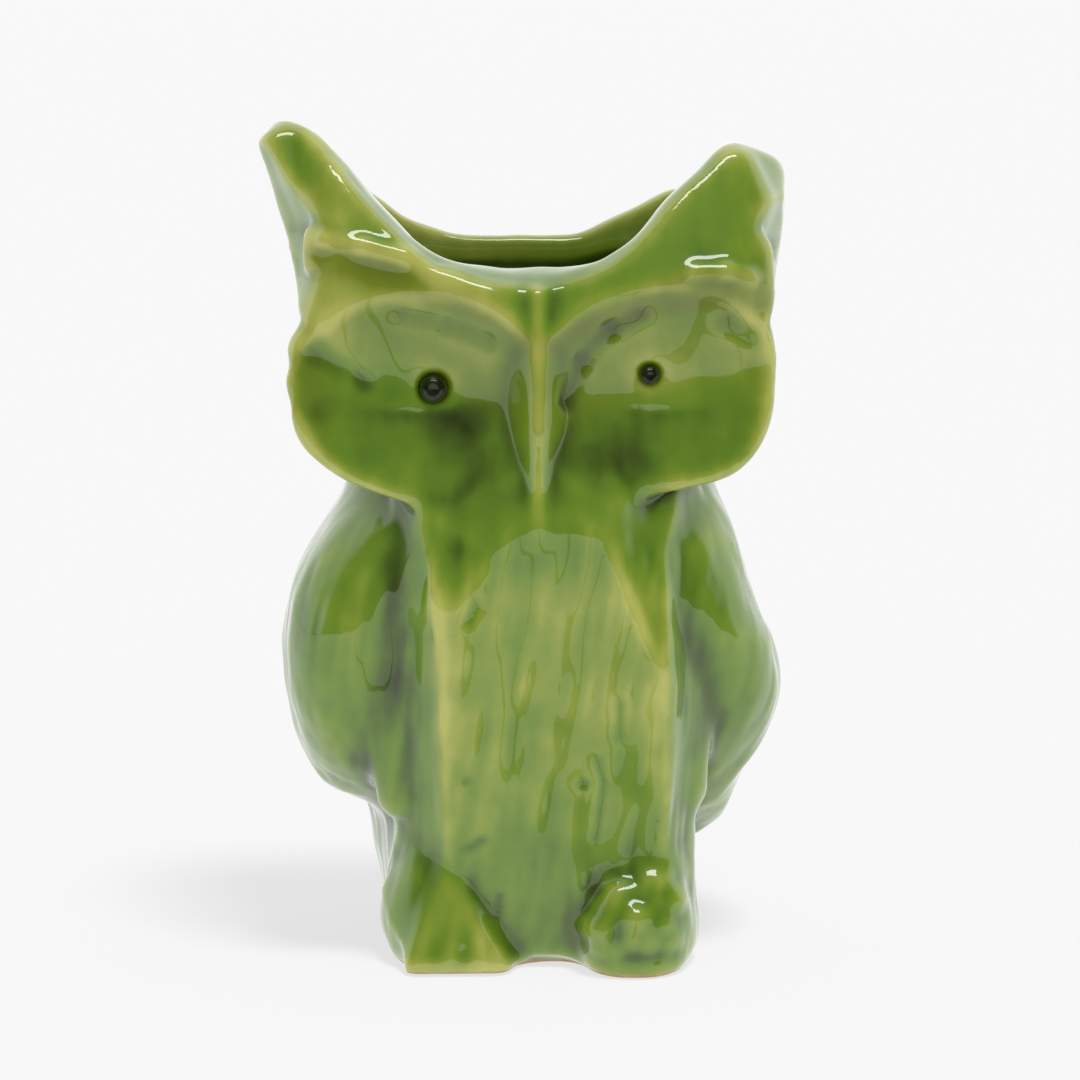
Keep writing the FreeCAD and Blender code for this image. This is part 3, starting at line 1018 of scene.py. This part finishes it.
def glowing(name, strength):
    """A sheet that shines white and is black otherwise."""
    material, tree, shader = new_material(name)
    shader.inputs["Base Color"].default_value = (0, 0, 0, 1)
    shader.inputs["Specular IOR Level"].default_value = 0.0
    shader.inputs["Emission Color"].default_value = (1, 1, 1, 1)
    shader.inputs["Emission Strength"].default_value = strength
    return material


floor = plane("floor", 90, 90, (0, 0, 0), pale_paper("floor_paper", (0.08, 0.08, 0.08), 0.715))

# The glaze mirrors three cards: the lit table under the owl, the dark studio beyond its front edge,
# and a narrow stand before the owl, which draws the darker band on the breast.
TABLE_EDGE = -0.95
lit_table = plane("lit_table", 6, 6, (0, TABLE_EDGE + 3, 0.0006), glowing("table_glow", 1.0))
dark_studio = plane("dark_studio", 60, 40, (0, TABLE_EDGE - 20, 0.001), matte("dark", (0.02, 0.02, 0.02)))
stand = plane("camera_stand", 0.018, 0.85, (0.024, -0.52, 0.0012), glowing("stand_shade", 0.25))
for card in (lit_table, dark_studio, stand):
    only_in_reflections(card)


def studio_world():
    """Even pale light for matte surfaces, while reflections see a dark front and a bright back."""
    world = bpy.data.worlds.new("studio")
    bpy.context.scene.world = world
    world.use_nodes = True
    tree = world.node_tree
    tree.nodes.clear()
    out = tree.nodes.new("ShaderNodeOutputWorld")
    path = tree.nodes.new("ShaderNodeLightPath")
    coords = tree.nodes.new("ShaderNodeTexCoord")
    split = tree.nodes.new("ShaderNodeSeparateXYZ")
    fade = tree.nodes.new("ShaderNodeMapRange")
    fade.interpolation_type = "SMOOTHSTEP"
    tree.links.new(coords.outputs["Generated"], split.inputs[0])
    tree.links.new(split.outputs["Y"], fade.inputs["Value"])
    for key, value in (("From Min", -0.35), ("From Max", 0.02), ("To Min", 0.03), ("To Max", 1.15)):
        fade.inputs[key].default_value = value
    mirror = tree.nodes.new("ShaderNodeBackground")
    tree.links.new(fade.outputs[0], mirror.inputs["Strength"])
    ambient = tree.nodes.new("ShaderNodeBackground")
    ambient.inputs["Strength"].default_value = 0.90
    seen = tree.nodes.new("ShaderNodeBackground")
    seen.inputs["Color"].default_value = (0.93, 0.93, 0.93, 1)
    for shader in (mirror, ambient):
        shader.inputs["Color"].default_value = (1, 1, 1, 1)
    unseen = tree.nodes.new("ShaderNodeMixShader")
    whole = tree.nodes.new("ShaderNodeMixShader")
    tree.links.new(path.outputs["Is Glossy Ray"], unseen.inputs["Fac"])
    tree.links.new(ambient.outputs[0], unseen.inputs[1])
    tree.links.new(mirror.outputs[0], unseen.inputs[2])
    tree.links.new(path.outputs["Is Camera Ray"], whole.inputs["Fac"])
    tree.links.new(unseen.outputs[0], whole.inputs[1])
    tree.links.new(seen.outputs[0], whole.inputs[2])
    tree.links.new(whole.outputs[0], out.inputs["Surface"])


studio_world()


def add_light(name, kind, energy, towards):
    """A light that stands in some direction and shines back along it."""
    light = bpy.data.lights.new(name, kind)
    light.energy = energy
    obj = bpy.data.objects.new(name, light)
    obj.rotation_euler = Vector(towards).to_track_quat("Z", "Y").to_euler()
    bpy.context.scene.collection.objects.link(obj)
    return obj


window_light = add_light("window_light", "SUN", 0.40, (0.55, -0.12, 1.0))
window_light.data.angle = math.radians(50)
window_light.visible_glossy = False

# A steeper light falls on the floor alone, so the owl throws a soft shadow to the left.
floor_light = add_light("floor_light", "SUN", 6.0, (0.17, -0.28, 1.0))
floor_light.data.angle = math.radians(14)
floor_only = bpy.data.collections.new("floor_only")
floor_only.objects.link(floor)
floor_light.light_linking.receiver_collection = floor_only

SOFTBOX_PLACE = Vector((0.0, -0.75, 1.35))
SOFTBOX_AIM = Vector((0, 0, 0.15))
softbox = add_light("softbox", "AREA", 7.0, SOFTBOX_PLACE - SOFTBOX_AIM)
softbox.location = SOFTBOX_PLACE
softbox.data.shape = "RECTANGLE"
softbox.data.size, softbox.data.size_y = 0.8, 0.3
softbox.visible_diffuse = False

# ---------------------------------------------------------------- camera
TARGET = Vector((0.0029, 0.0, 0.13915))
DISTANCE = 1.3
ELEVATION = math.radians(9)
LENS = 126.77
camera = bpy.data.objects.new("camera", bpy.data.cameras.new("camera"))
camera.data.lens = LENS
camera.data.sensor_width = 36
camera.location = TARGET + DISTANCE * Vector((0, -math.cos(ELEVATION), math.sin(ELEVATION)))
camera.rotation_euler = (math.pi / 2 - ELEVATION, 0, 0)
bpy.context.scene.collection.objects.link(camera)
bpy.context.scene.camera = camera
bpy.context.scene.view_settings.view_transform = "Standard"
